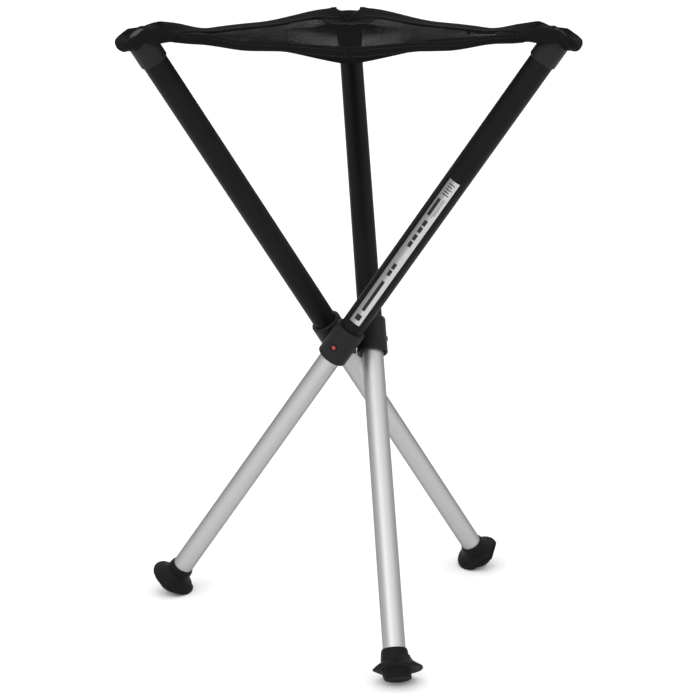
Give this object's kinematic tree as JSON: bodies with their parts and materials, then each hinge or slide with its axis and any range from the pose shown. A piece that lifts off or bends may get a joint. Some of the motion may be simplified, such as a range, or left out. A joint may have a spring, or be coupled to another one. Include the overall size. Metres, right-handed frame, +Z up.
{
  "type": "camp stool",
  "caption": "Three-legged folding camp stool with telescopic legs crossing at a pivoting hub, push-button leg locks, wide rubber feet and a triangular mesh sling seat.",
  "frame": {"origin": "on the floor under the hub's axis, midway between the three feet", "axes": "+Z up; leg 3's foot points roughly to -Y and its seat corner to +Y; +X to the right of someone looking along +Y"},
  "size_m": [0.4625, 0.4928, 0.6609],
  "materials": {
    "black_tube": "satin black anodised aluminium tube",
    "silver_tube": "satin clear-anodised, drawn along the tube",
    "black_plastic": "fine matte moulded nylon",
    "nylon": "natural nylon",
    "foot_rubber": "matte black moulded rubber",
    "seat_mesh": "black open polyester mesh",
    "seat_webbing": "black woven edging tape, folded and stitched",
    "rivet_grey": "dull grey",
    "steel": "zinc plated",
    "red_button": "semi-gloss red",
    "label_silver": null
  },
  "bodies": {
    "hub": {"hub_core": "black_plastic", "pivot_pin_1": "steel", "pivot_washer_1": "nylon", "pivot_pin_2": "steel", "pivot_washer_2": "nylon", "pivot_pin_3": "steel", "pivot_washer_3": "nylon"},
    "leg_1": {"hub_sleeve_1": "black_plastic", "upper_tube_1": "black_tube", "top_collar_1": "black_plastic", "end_plug_1": "black_plastic", "seat_pocket_1": "seat_webbing", "seat_rivet_1": "rivet_grey", "size_label": "label_silver"},
    "lower_leg_1": {"lower_tube_1": "silver_tube", "guide_bush_1": "nylon", "foot_1": "foot_rubber", "snap_pin_1": "steel", "leaf_spring_1": "steel"},
    "button_1": {"release_button_1": "red_button"},
    "seat_1": {"seat_mesh_1": "seat_mesh", "seat_hem_1": "seat_webbing"},
    "leg_2": {"hub_sleeve_2": "black_plastic", "upper_tube_2": "black_tube", "top_collar_2": "black_plastic", "end_plug_2": "black_plastic", "seat_pocket_2": "seat_webbing", "seat_rivet_2": "rivet_grey"},
    "lower_leg_2": {"lower_tube_2": "silver_tube", "guide_bush_2": "nylon", "foot_2": "foot_rubber", "snap_pin_2": "steel", "leaf_spring_2": "steel"},
    "button_2": {"release_button_2": "red_button"},
    "seat_2": {"seat_mesh_2": "seat_mesh", "seat_hem_2": "seat_webbing"},
    "leg_3": {"hub_sleeve_3": "black_plastic", "upper_tube_3": "black_tube", "top_collar_3": "black_plastic", "end_plug_3": "black_plastic", "seat_pocket_3": "seat_webbing", "seat_rivet_3": "rivet_grey"},
    "lower_leg_3": {"lower_tube_3": "silver_tube", "guide_bush_3": "nylon", "foot_3": "foot_rubber", "snap_pin_3": "steel", "leaf_spring_3": "steel"},
    "button_3": {"release_button_3": "red_button"},
    "seat_3": {"seat_mesh_3": "seat_mesh", "seat_hem_3": "seat_webbing"}
  },
  "joints": [
    {"name": "leg_1_fold", "type": "hinge", "parent": "hub", "child": "leg_1", "pos_m": [-0.01017, -0.02295, 0.3132], "axis": [-0.4051, -0.9143, 0], "range_deg": [0, 35.5]},
    {"name": "leg_1_slide", "type": "slide", "parent": "leg_1", "child": "lower_leg_1", "axis": [0.5309, -0.2353, 0.8141], "range_m": [0, 0.326]},
    {"name": "button_1_press", "type": "slide", "parent": "leg_1", "child": "button_1", "axis": [0.4051, 0.9143, 0], "range_m": [0, 0.0018], "stiffness_N_per_m": 300, "springref_m": -0.002},
    {"name": "seat_1_fold", "type": "hinge", "parent": "leg_1", "child": "seat_1", "pos_m": [0.18094, -0.10763, 0.64069], "axis": [-0.4051, -0.9143, 0], "range_deg": [0, 45.8], "deforming": ["seat_mesh_1", "seat_hem_1"]},
    {"name": "leg_2_fold", "type": "hinge", "parent": "hub", "child": "leg_2", "pos_m": [-0.01479, 0.02028, 0.3132], "axis": [-0.5892, 0.808, 0], "range_deg": [0, 35.5]},
    {"name": "leg_2_slide", "type": "slide", "parent": "leg_2", "child": "lower_leg_2", "axis": [-0.4692, -0.3421, 0.8141], "range_m": [0, 0.326]},
    {"name": "button_2_press", "type": "slide", "parent": "leg_2", "child": "button_2", "axis": [0.5892, -0.808, 0], "range_m": [0, 0.0018], "stiffness_N_per_m": 300, "springref_m": -0.002},
    {"name": "seat_2_fold", "type": "hinge", "parent": "leg_2", "child": "seat_2", "pos_m": [-0.18368, -0.10288, 0.64069], "axis": [-0.5892, 0.808, 0], "range_deg": [0, 45.8], "deforming": ["seat_mesh_2", "seat_hem_2"]},
    {"name": "leg_3_fold", "type": "hinge", "parent": "hub", "child": "leg_3", "pos_m": [0.02496, 0.00267, 0.3132], "axis": [0.9943, 0.1063, 0], "range_deg": [0, 35.5]},
    {"name": "leg_3_slide", "type": "slide", "parent": "leg_3", "child": "lower_leg_3", "axis": [-0.0617, 0.5774, 0.8141], "range_m": [0, 0.326]},
    {"name": "button_3_press", "type": "slide", "parent": "leg_3", "child": "button_3", "axis": [-0.9943, -0.1063, 0], "range_m": [0, 0.0018], "stiffness_N_per_m": 300, "springref_m": -0.002},
    {"name": "seat_3_fold", "type": "hinge", "parent": "leg_3", "child": "seat_3", "pos_m": [0.00275, 0.21051, 0.64069], "axis": [0.9943, 0.1063, 0], "range_deg": [0, 45.8], "deforming": ["seat_mesh_3", "seat_hem_3"]}
  ],
  "couplings": [
    {"joint": "seat_1_fold", "follows": "leg_1_fold", "ratio": 1.2901},
    {"joint": "leg_2_fold", "follows": "leg_1_fold", "ratio": 1},
    {"joint": "seat_2_fold", "follows": "leg_1_fold", "ratio": 1.2901},
    {"joint": "leg_3_fold", "follows": "leg_1_fold", "ratio": 1},
    {"joint": "seat_3_fold", "follows": "leg_1_fold", "ratio": 1.2901}
  ]
}
